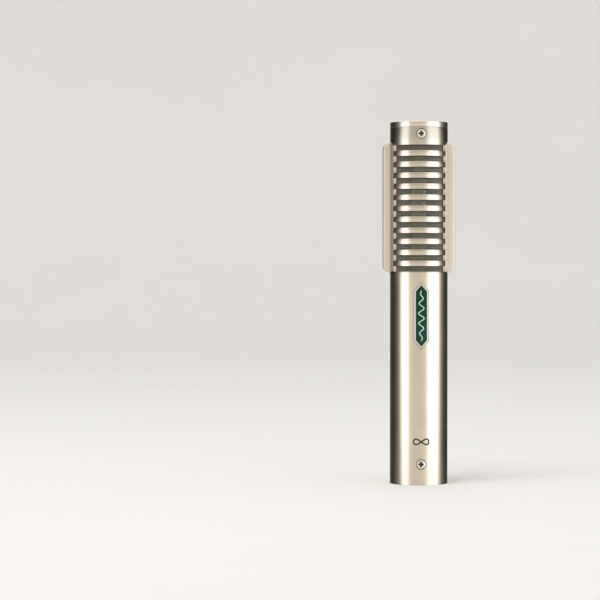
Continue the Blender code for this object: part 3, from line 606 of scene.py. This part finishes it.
def wall_rows():
    """Heights of the tube wall's rows, and the spans of the slots among them."""
    slots = [
        (SLOT_FIRST + i * SLOT_PITCH - SLOT_HEIGHT / 2, SLOT_FIRST + i * SLOT_PITCH + SLOT_HEIGHT / 2)
        for i in range(SLOT_COUNT)
    ]
    rows = {TUBE_LOW[2], SEAM_HEIGHT - SEAM_WIDTH / 2, WING_LOW[2] - WING_GAP, WING_HIGH[2] + WING_GAP}
    for slot in slots:
        rows.update(slot)
    return sorted(rows), slots


def wall_cell_is_open(angle, height, slots):
    """True where a slot or a wing's window goes through the wall."""
    across = TUBE_RADIUS * math.cos(math.radians(angle))
    in_window = WING_LOW[2] - WING_GAP < height < WING_HIGH[2] + WING_GAP
    if in_window and abs(across) < WINDOW_HALF:
        return True
    return abs(across) > SLOT_END and any(low < height < high for low, high in slots)


def tube_wall(name):
    """The tube as one closed wall of quads, with its slots and windows left out."""
    columns = wall_columns()
    rows, slots = wall_rows()
    count, levels = len(columns), len(rows)
    work = bmesh.new()
    skins = []
    for radius, which in ((TUBE_RADIUS, 0), (TUBE_BORE, 1)):
        skin = []
        for column in columns:
            angle = math.radians(column[which])
            x, y = radius * math.sin(angle), -radius * math.cos(angle)
            skin.append([work.verts.new((x, y, z)) for z in rows])
        skins.append(skin)
    outer, inner = skins

    def middle(i):
        """The outer angle halfway between a column and the next."""
        start = columns[i][0]
        end = columns[(i + 1) % count][0]
        return start + ((end - start) % 360) / 2

    solid = [
        [
            not wall_cell_is_open(middle(i), (rows[j] + rows[j + 1]) / 2, slots)
            for j in range(levels - 1)
        ]
        for i in range(count)
    ]
    for i in range(count):
        n = (i + 1) % count
        for j in range(levels - 1):
            if not solid[i][j]:
                continue
            work.faces.new((outer[i][j], outer[n][j], outer[n][j + 1], outer[i][j + 1]))
            work.faces.new((inner[n][j], inner[i][j], inner[i][j + 1], inner[n][j + 1]))
            if j == 0 or not solid[i][j - 1]:
                work.faces.new((outer[n][j], outer[i][j], inner[i][j], inner[n][j]))
            if j == levels - 2 or not solid[i][j + 1]:
                work.faces.new((outer[i][j + 1], outer[n][j + 1], inner[n][j + 1], inner[i][j + 1]))
            if not solid[i - 1][j]:
                work.faces.new((outer[i][j], outer[i][j + 1], inner[i][j + 1], inner[i][j]))
            if not solid[n][j]:
                work.faces.new((outer[n][j + 1], outer[n][j], inner[n][j], inner[n][j + 1]))
    loose = [vert for vert in work.verts if not vert.link_faces]
    bmesh.ops.delete(work, geom=loose, context="VERTS")
    work.normal_update()
    crisp = [
        edge
        for edge in work.edges
        if edge.calc_face_angle(0) > math.radians(40)
        and any(abs(vert.co.y) > WINDOW_HALF + EDGE for vert in edge.verts)
    ]
    bmesh.ops.bevel(work, geom=crisp, offset=EDGE, segments=2, profile=0.5, affect="EDGES")
    mesh = bpy.data.meshes.new(name)
    work.to_mesh(mesh)
    work.free()
    return put(name, mesh)


def screw_hole(name, height, side):
    """The countersunk hole of one screw, a little wider than the screw."""
    gap = 0.26 * MM
    lip = 0.04 * MM
    seam = 0.4 * MM  # depth of the straight wall round the head
    bottom = SCREW_TIP - 1.6 * MM
    profile = [
        (0, TUBE_RADIUS + MM),
        (SCREW_HEAD + gap + 2 * lip, TUBE_RADIUS + MM),
        (SCREW_HEAD + gap + lip, SCREW_FACE + lip),
        (SCREW_HEAD + gap, SCREW_FACE),
        (SCREW_HEAD + gap, SCREW_FACE - seam),
        (SCREW_SHANK + gap, SCREW_FACE - SCREW_CONE - gap),
        (SCREW_SHANK + gap, bottom),
        (0, bottom),
    ]
    return turned(name, profile, sides=SMALL_SIDES, location=(0, 0, height), rotation=FACING[side])


def badge_outline(inset):
    """The badge's long hexagon, inset from its edge all round."""
    half = BADGE_HIGH[0] - inset
    tip = (BADGE_HIGH[2] - BADGE_LOW[2]) / 2 - inset * math.hypot(1, BADGE_POINT)
    shoulder = tip - BADGE_POINT * half
    return [(0, -tip), (half, -shoulder), (half, shoulder), (0, tip), (-half, shoulder), (-half, -shoulder)]


def badge_slab(name, inset, back, front):
    """A hexagonal slab of the badge, inset from its outline, between two distances from the axis."""
    place = (0, -(back + front) / 2, (BADGE_LOW[2] + BADGE_HIGH[2]) / 2)
    return plate(name, badge_outline(inset), front - back, place, FACING["front"])


def make_tube(holes):
    """The satin nickel tube, with its screw holes and a pocket a little wider than the badge."""
    margin = 0.3 * MM
    tube = tube_wall("tube_shell")
    pocket = badge_slab("pocket", -margin, BADGE_POCKET, TUBE_RADIUS + MM)
    cut(tube, *holes.values(), pocket)
    tube = apply_changes(tube, 30)
    discard(pocket)
    settle(tube, tube_nickel, replaced=["body_tube"])


def make_cap(holes):
    """The end cap with a softly rounded rim and a fine seam under it."""
    spigot = TUBE_BORE - 0.1 * MM
    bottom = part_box("top_cap")[0][2]
    seam = SEAM_HEIGHT + SEAM_WIDTH / 2
    rim = 0.45 * MM
    small = 0.1 * MM
    core = SCREW_TIP - 0.1 * MM
    profile = [
        (0, TOP),
        *arc((TUBE_RADIUS - rim, TOP - rim), rim, 90, 0, 6),
        *arc((TUBE_RADIUS - small, seam + small), small, 0, -90, 3),
        (spigot, seam),
        (spigot, bottom),
        (core, bottom),
        (core, SEAM_HEIGHT),
        (0, SEAM_HEIGHT),
    ]
    cap = turned("cap_shell", profile)
    cut(cap, holes["cap", "front"], holes["cap", "rear"])
    settle(apply_changes(cap, 30), nickel, replaced=["top_cap"])


def make_wings():
    """The two flux-frame wings with well rounded edges."""
    for name, side in (("left", -1), ("right", 1)):
        low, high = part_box("wing_" + name)
        inner = side * min(abs(low[0]), abs(high[0]))
        reach = max(abs(low[0]), abs(high[0])) - WING_CORNER
        outline = [(inner, high[2]), (inner, low[2])]
        for centre_z, first in ((low[2] + WING_CORNER, -90), (high[2] - WING_CORNER, 0)):
            outline += [(side * x, z) for x, z in arc((reach, centre_z), WING_CORNER, first, first + 90, 14)]
        wing = plate("wing_plate_" + name, outline, high[1] - low[1], rotation=FACING["front"])
        bevel(wing, WING_EDGE, segments=5, limit=50)
        settle(apply_changes(wing, 50), wing_metal, replaced=["wing_" + name])


def make_screw(name, height, side, node):
    """A countersunk screw with a slightly domed head and a tapered cross recess."""
    soft, dome, rings = 0.12 * MM, 0.22 * MM, 8
    crown = SCREW_HEAD - soft
    profile = [(crown * i / rings, SCREW_FACE - dome * (i / rings) ** 2) for i in range(rings)]
    profile += [
        *arc((crown, SCREW_FACE - dome - soft), soft, 90, 0, 3),
        (SCREW_SHANK, SCREW_FACE - SCREW_CONE - dome / 2),
        (SCREW_SHANK, SCREW_TIP),
        (0, SCREW_TIP),
    ]
    screw = turned(name, profile, sides=SMALL_SIDES, location=(0, 0, height), rotation=FACING[side])
    half, reach, depth, over = 0.5 * MM, 1.4 * MM, 1.0 * MM, 0.2 * MM
    tools = [
        block(
            "recess",
            (-wide, -tall, SCREW_FACE - depth),
            (wide, tall, SCREW_FACE + over),
            0.4,
            (0, 0, height),
            FACING[side],
        )
        for wide, tall in ((reach, half), (half, reach))
    ]
    cut(screw, *tools)
    screw = apply_changes(screw, 30)
    discard(*tools)
    settle(screw, screw_metal, replaced=[node])


def make_screws(holes):
    """The four countersunk screws."""
    for place, side in holes:
        height = CAP_SCREW_HEIGHT if place == "cap" else BASE_SCREW_HEIGHT
        make_screw(f"{place}_screw_{side}_fine", height, side, f"{place}_screw_{side}")


# ---- Badge and mark ----


def swept_strip(name, route, width, thickness, location=(0, 0, 0), rotation=(0, 0, 0), closed=False):
    """A flat strip of this width along a route of (x, y) points, in its own XY plane."""
    curve = bpy.data.curves.new(name, "CURVE")
    curve.dimensions = "2D"
    spline = curve.splines.new("POLY")
    spline.points.add(len(route) - 1)
    for point, (x, y) in zip(spline.points, route):
        point.co = (x, y, 0, 1)
    spline.use_cyclic_u = closed
    section = bpy.data.curves.new(name + "_section", "CURVE")
    section.dimensions = "2D"
    outline = section.splines.new("POLY")
    outline.points.add(3)
    corners = ((-1, -1), (1, -1), (1, 1), (-1, 1))
    for point, (x, y) in zip(outline.points, corners):
        point.co = (x * width / 2, y * thickness / 2, 0, 1)
    outline.use_cyclic_u = True
    shape = put(name + "_section", section)
    curve.bevel_mode = "OBJECT"
    curve.bevel_object = shape
    curve.use_fill_caps = not closed
    made = apply_changes(put(name, curve, location, rotation))
    discard(shape)
    return made


def make_badge_rim(front, back, floor):
    """The badge's bright plate with rounded edges, hollowed for the enamel down to the floor."""
    rim = bevel(badge_slab("badge_rim", 0, back, front), 0.3 * MM, 6, 30)
    rim = apply_changes(rim)
    field = badge_slab("field", BADGE_RIM, floor, front + MM)
    cut(rim, field)
    rim = apply_changes(rim, 30)
    discard(field)
    settle(rim, bright, replaced=["badge_plate"])


def make_badge_glass(front, floor):
    """The badge's green enamel, a little below the rim's face."""
    gap, sunk, soft = 0.02 * MM, 0.08 * MM, 0.06 * MM
    glass = badge_slab("badge_glass", BADGE_RIM + gap, floor + gap / 2, front - sunk)
    bevel(glass, soft, 2, 30)
    settle(apply_changes(glass, 50), enamel, replaced=["badge_enamel"])


def make_badge_wave(front):
    """A fine sound wave drawn in the enamel, swelling from its ends to its middle."""
    run = (BADGE_HIGH[2] - BADGE_LOW[2]) * 0.76
    swing = (BADGE_HIGH[0] - BADGE_LOW[0]) * 0.2
    line, film, sunk = 0.44 * MM, 0.05 * MM, 0.07 * MM
    waves, points_per_wave = 5, 24
    steps = points_per_wave * waves
    route = []
    for i in range(steps + 1):
        along = i / steps
        swell = math.sin(math.pi * along) ** 0.6
        route.append((swing * swell * math.sin(2 * math.pi * waves * along), run * (along - 0.5)))
    place = (0, sunk - front, (BADGE_LOW[2] + BADGE_HIGH[2]) / 2)
    wave = swept_strip("badge_wave", route, line, film, place, FACING["front"])
    settle(wave, pale_enamel)


def make_badge():
    """The badge: a bright rim, a green enamel field and a fine sound wave drawn in it."""
    front, back = -BADGE_LOW[1], -BADGE_HIGH[1]
    floor = front - 0.35 * MM
    make_badge_rim(front, back, floor)
    make_badge_glass(front, floor)
    make_badge_wave(front)


def make_mark():
    """A small lying figure of eight, the sign of the pickup pattern, inked above the lower screw."""
    half_width, half_height, line, film = 3.3 * MM, 1.2 * MM, 0.62 * MM, 0.03 * MM
    points = 96
    turns = [2 * math.pi * i / points for i in range(points)]
    route = [(half_width * math.cos(turn), half_height * math.sin(2 * turn)) for turn in turns]
    mark = swept_strip("pickup_mark", route, line, film, (0, 0, MARK_HEIGHT), FACING["front"], True)
    for vert in mark.data.vertices:
        vert.co.z += math.sqrt(TUBE_RADIUS**2 - vert.co.x**2)
    settle(mark, ink)


# ---- Woven screens ----


def woven_wires(paths, across, radius, sides=4):
    """Points and faces of round wires. Each path's points have two directions across it."""
    points, faces = [], []
    spokes = [(math.cos(2 * math.pi * k / sides), math.sin(2 * math.pi * k / sides)) for k in range(sides)]
    first = 0
    for path, (one, two) in zip(paths, across):
        rings = np.stack([path + radius * (c * one + s * two) for c, s in spokes], axis=1)
        points.append(rings.reshape(-1, 3))
        count = len(path)
        for i in range(count - 1):
            for k in range(sides):
                a = first + i * sides + k
                b = first + i * sides + (k + 1) % sides
                faces.append((a, b, b + sides, a + sides))
        faces.append(tuple(first + k for k in reversed(range(sides))))
        faces.append(tuple(first + (count - 1) * sides + k for k in range(sides)))
        first += count * sides
    return np.concatenate(points), faces


def make_screen(name, facing):
    """Plain-woven wire cloth, curved to the inside of the slots."""
    height = SCREEN_HIGH[2] - SCREEN_LOW[2]
    down = int(height / WIRE_PITCH)
    round_ = int(2 * SCREEN_HALF_ANGLE * SCREEN_RADIUS / WIRE_PITCH)
    swing = WIRE_RADIUS
    paths, across = [], []
    z = np.linspace(SCREEN_LOW[2], SCREEN_HIGH[2], 2 * down + 1)
    angles = np.linspace(-SCREEN_HALF_ANGLE, SCREEN_HALF_ANGLE, 2 * round_ + 1)

    def outward(angle):
        """The direction away from the axis at this angle."""
        turn = angle + facing
        return np.stack([np.sin(turn), -np.cos(turn), np.zeros_like(turn)], axis=-1)

    def sideways(angle):
        """The direction round the tube at this angle."""
        turn = angle + facing
        return np.stack([np.cos(turn), np.sin(turn), np.zeros_like(turn)], axis=-1)

    for i in range(round_):
        angle = np.full(len(z), angles[2 * i + 1])
        phase = np.arange(len(z)) - 1 + 2 * i
        radius = SCREEN_RADIUS + swing * np.cos(math.pi / 2 * phase)
        path = outward(angle) * radius[:, None]
        path[:, 2] = z
        paths.append(path)
        across.append((outward(angle), sideways(angle)))
    for j in range(down):
        phase = np.arange(len(angles)) - 1 + 2 * j
        radius = SCREEN_RADIUS - swing * np.cos(math.pi / 2 * phase)
        path = outward(angles) * radius[:, None]
        path[:, 2] = z[2 * j + 1]
        paths.append(path)
        across.append((np.broadcast_to([0.0, 0.0, 1.0], path.shape), outward(angles)))
    points, faces = woven_wires(paths, across, WIRE_RADIUS)
    mesh = bpy.data.meshes.new("wire_cloth_" + name)
    mesh.from_pydata(points.tolist(), [], faces)
    mesh.update()
    mesh.shade_smooth()
    mesh.set_sharp_from_angle(angle=math.radians(89))
    cloth = put("wire_cloth_" + name, mesh)
    settle(cloth, wire_metal, replaced=["screen_" + name])


# ---- Ribbon ----


def make_ribbon():
    """The corrugated ribbon in two halves, each clamped at one end and moving fully at the middle."""
    middle = (RIBBON_LOW[2] + RIBBON_HIGH[2]) / 2
    half_width = (RIBBON_HIGH[0] - RIBBON_LOW[0]) / 2
    free_low, free_high = CLAMP_BOTTOM[1][2], CLAMP_TOP[0][2]
    halves = (
        ("ribbon_lower", RIBBON_LOW[2], middle, free_low),
        ("ribbon_upper", middle, RIBBON_HIGH[2], free_high),
    )
    points_per_fold, fade_in, hair = 8, 12, 1e-9
    steps = points_per_fold * RIBBON_FOLDS
    for name, low, high, clamp in halves:
        heights = [free_low + (free_high - free_low) * i / steps for i in range(steps + 1)]
        heights = [height for height in heights if low - hair <= height <= high + hair]
        heights = sorted({low, high, *heights})
        work = bmesh.new()
        columns = []
        for x in (-half_width, -half_width / 2, 0, half_width / 2, half_width):
            column = []
            for height in heights:
                share = (height - free_low) / (free_high - free_low)
                inside = min(1.0, max(0.0, fade_in * min(share, 1 - share)))
                wave = RIBBON_WAVE * inside * math.sin(2 * math.pi * RIBBON_FOLDS * share)
                column.append(work.verts.new((x, wave, height)))
            columns.append(column)
        for one, two in zip(columns, columns[1:]):
            for i in range(len(heights) - 1):
                work.faces.new((one[i], two[i], two[i + 1], one[i + 1]))
        mesh = bpy.data.meshes.new(name)
        work.to_mesh(mesh)
        work.free()
        half = put(name, mesh)
        sheet = half.modifiers.new("foil", "SOLIDIFY")
        sheet.thickness = RIBBON_FOIL
        sheet.offset = 0
        half = apply_changes(half, 60)
        settle(half, foil, body=None, replaced=["ribbon"])
        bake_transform(half)


# ---- Connector ----


def make_housing():
    """The connector's round housing, with a rounded mouth and the groove for the plug's key."""
    outer, low, high = HOUSING_HIGH[0], HOUSING_LOW[2], HOUSING_HIGH[2]
    rim, mouth = 0.3 * MM, 0.4 * MM
    profile = [
        (outer, high),
        *arc((outer - rim, low + rim), rim, 0, -90, 4),
        *arc((SOCKET_RADIUS + mouth, low + mouth), mouth, 270, 180, 4),
        (SOCKET_RADIUS, SHOULDER_HEIGHT),
        (SHOULDER_BORE, SHOULDER_HEIGHT),
        (SHOULDER_BORE, high),
    ]
    housing = turned("housing_fine", profile, ring=True, sides=CONNECTOR_SIDES)
    groove = block("key", (-1.7 * MM, 7.5 * MM, -MM), (1.7 * MM, 9.6 * MM, 6.5 * MM))
    cut(housing, groove)
    housing = apply_changes(housing, 30)
    discard(groove)
    settle(housing, dark_metal, replaced=["connector_housing"])


def make_insulator():
    """The black disc that holds the pins, with a hole for each."""
    gap, soft = 0.1 * MM, 0.35 * MM
    top = SHOULDER_HEIGHT - gap
    edge = SOCKET_RADIUS - gap
    disc = [
        (0, top),
        (edge, top),
        *arc((edge - soft, INSULATOR_BOTTOM + soft), soft, 0, -90, 4),
        (0, INSULATOR_BOTTOM),
    ]
    insulator = turned("insulator_fine", disc, sides=CONNECTOR_SIDES)
    wall = PIN_RADIUS + 0.05 * MM
    bore = [(0, top + MM), (wall, top + MM), (wall, INSULATOR_BOTTOM - MM), (0, INSULATOR_BOTTOM - MM)]
    holes = [turned("bore", bore, sides=SMALL_SIDES, location=(x, y, 0)) for x, y in PINS.values()]
    cut(insulator, *holes)
    insulator = apply_changes(insulator, 30)
    discard(*holes)
    settle(insulator, black_plastic, replaced=["connector_insulator"])


def make_pins():
    """The three gold pins, with round noses and a solder cup at the upper end of each."""
    cup, nose = 0.8 * MM, 0.9 * MM
    floor = PIN_END - 3 * MM
    profile = [
        (0, floor),
        (cup, floor),
        (cup, PIN_END),
        (PIN_RADIUS, PIN_END),
        *arc((PIN_RADIUS - nose, PIN_TIP + nose), nose, 0, -90, 8),
        (0, PIN_TIP),
    ]
    for number, (x, y) in PINS.items():
        pin = turned("pin_fine_" + number, profile, sides=SMALL_SIDES, location=(x, y, 0))
        settle(pin, gold, replaced=["connector_pin_" + number])


# ---- CAD nodes that stay ----


def finish_kept_nodes():
    """Give the inner pieces that keep their CAD shape a finished material."""
    looks = {
        "soft_iron": iron,
        "magnet_plating": magnet,
        "brass": brass,
        "phenolic": phenolic,
        "turned_aluminium": aluminium,
        "rubber": rubber,
        "plated_steel": plated,
        "copper_winding": copper,
        "shield_can": shield,
        "red_wire": red_wire,
        "blue_wire": blue_wire,
        "black_wire": black_wire,
    }
    for part in frame["record"]["subparts"]:
        look = looks.get(part["material_slot"])
        node = frame["nodes"].get(part["node"])
        if look is None or node is None:
            continue
        for slot in node.material_slots:
            slot.material = look


# ---- Studio ----

# Brightness of the studio round the microphone: angle from -Y towards +X in degrees, then brightness.
# A wide softbox stands on each side of the front, with a dimmer warm gap between them, black flags
# beside the object and a softbox behind it.
STUDIO_BANDS = (
    (-180, 1.10),
    (-170, 1.00),
    (-160, 0.12),
    (-140, 0.03),
    (-115, 0.04),
    (-95, 0.15),
    (-84, 0.48),
    (-74, 1.60),
    (-51, 1.70),
    (-42, 0.74),
    (-20, 0.66),
    (6, 0.66),
    (24, 0.78),
    (38, 1.65),
    (76, 1.70),
    (91, 0.46),
    (103, 0.14),
    (121, 0.04),
    (145, 0.03),
    (162, 0.12),
    (171, 1.00),
    (180, 1.10),
)
BAND_PEAK = 2.0
DOME_LIGHT = (0.98, 0.97, 0.95)
GROUND_LIGHT = (0.62, 0.6, 0.57)
GAP_TINT = (1.1, 1.0, 0.865)
UPPER_BANDS = 0.76  # brightness of the bands above 11 degrees, as a share of that at the horizon
GROUND_SHARE = 0.75


def make_world():
    """Soft studio light from all round, as bands of brightness that change with direction only."""
    world = bpy.data.worlds.new("studio")
    scene.world = world
    world.use_nodes = True
    nodes = Nodes(world.node_tree)
    direction = nodes.add("ShaderNodeTexCoord").outputs["Generated"]
    ahead = nodes.calculate("MULTIPLY", nodes.axis(direction, "Y"), -1.0)
    angle = nodes.calculate("ARCTAN2", nodes.axis(direction, "X"), ahead)
    bands = nodes.add("ShaderNodeValToRGB")
    ramp = bands.color_ramp
    ramp.interpolation = "LINEAR"
    while len(ramp.elements) < len(STUDIO_BANDS):
        ramp.elements.new(0.5)
    for stop, (degrees, brightness) in zip(ramp.elements, STUDIO_BANDS):
        stop.position = degrees / 360 + 0.5
        level = brightness / BAND_PEAK
        stop.color = (level, level, level, 1.0)
    nodes.link(nodes.calculate("MULTIPLY_ADD", angle, 0.5 / math.pi, 0.5), bands.inputs["Fac"])
    band = bands.outputs["Color"]

    def rise(first, last):
        """A smooth step from 0 to 1 between two angles above the horizon, in degrees."""
        start, end = math.sin(math.radians(first)), math.sin(math.radians(last))
        return nodes.remap(nodes.axis(direction, "Z"), 0.0, 1.0, start, end, smooth=True)

    lit = nodes.scaled(band, BAND_PEAK)
    warm = nodes.vector("MULTIPLY", lit, GAP_TINT)
    dim = nodes.remap(band, 0.0, 1.0, 0.75, 0.4, smooth=True)
    sides = nodes.blend(dim, lit, warm)
    lift = nodes.calculate("MULTIPLY_ADD", rise(11, 0), 1 - UPPER_BANDS, UPPER_BANDS)
    above = nodes.blend(rise(22, 48), nodes.scaled(sides, lift), DOME_LIGHT)
    below = nodes.calculate("MULTIPLY", rise(-14, -45), GROUND_SHARE)
    background = nodes.tree.nodes["Background"]
    nodes.link(nodes.blend(below, above, GROUND_LIGHT), background.inputs["Color"])
    background.inputs["Strength"].default_value = 1.0


def make_floor():
    """A pale seamless floor that curves up into a backdrop all round."""
    reach, rise, fillet = 2.6, 2.2, 1.2
    profile = [(reach, rise), *arc((reach - fillet, fillet), fillet, 0, -90, 24), (0.0, 0.0)]
    floor = turned("studio_floor", profile, sides=96)
    floor.data.materials.append(studio_paper())
    floor.visible_glossy = False
    floor.visible_shadow = False


def make_light(name, location, size, power):
    """A square softbox pointed at the middle of the microphone, which its metal doesn't mirror."""
    light = bpy.data.lights.new(name, "AREA")
    light.shape = "SQUARE"
    light.size = size
    light.energy = power
    light.color = (1.0, 0.98, 0.95)
    made = put(name, light, location)
    aim = Vector((0, 0, TOP / 2)) - Vector(location)
    made.rotation_euler = aim.to_track_quat("-Z", "Y").to_euler()
    made.visible_glossy = False


def make_camera():
    """The camera, a little to the left of the front, with the microphone to the right of its axis."""
    camera = bpy.data.cameras.new("camera")
    camera.sensor_width = 36.0
    camera.lens = CAMERA_LENS
    camera.clip_start = 0.01
    camera.clip_end = 20
    across, along = -CAMERA_DISTANCE * math.sin(CAMERA_SIDE), -CAMERA_DISTANCE * math.cos(CAMERA_SIDE)
    turn = (math.pi / 2 - CAMERA_PITCH, 0, -CAMERA_YAW)
    scene.camera = put("camera", camera, (across, along, CAMERA_HEIGHT), turn)


scene.view_settings.view_transform = "Standard"
scene.view_settings.look = "None"
make_camera()
make_world()
make_floor()
make_light("overhead_softbox", (-0.35, -0.35, 1.0), 0.5, 4.0)

screw_holes = {
    (place, side): screw_hole(f"hole_{place}_{side}", height, side)
    for place, height in (("cap", CAP_SCREW_HEIGHT), ("base", BASE_SCREW_HEIGHT))
    for side in FACING
}
make_tube(screw_holes)
make_cap(screw_holes)
make_wings()
make_screws(screw_holes)
discard(*screw_holes.values())
make_badge()
make_mark()
make_screen("front", 0.0)
make_screen("rear", math.pi)
make_ribbon()
make_housing()
make_insulator()
make_pins()
finish_kept_nodes()
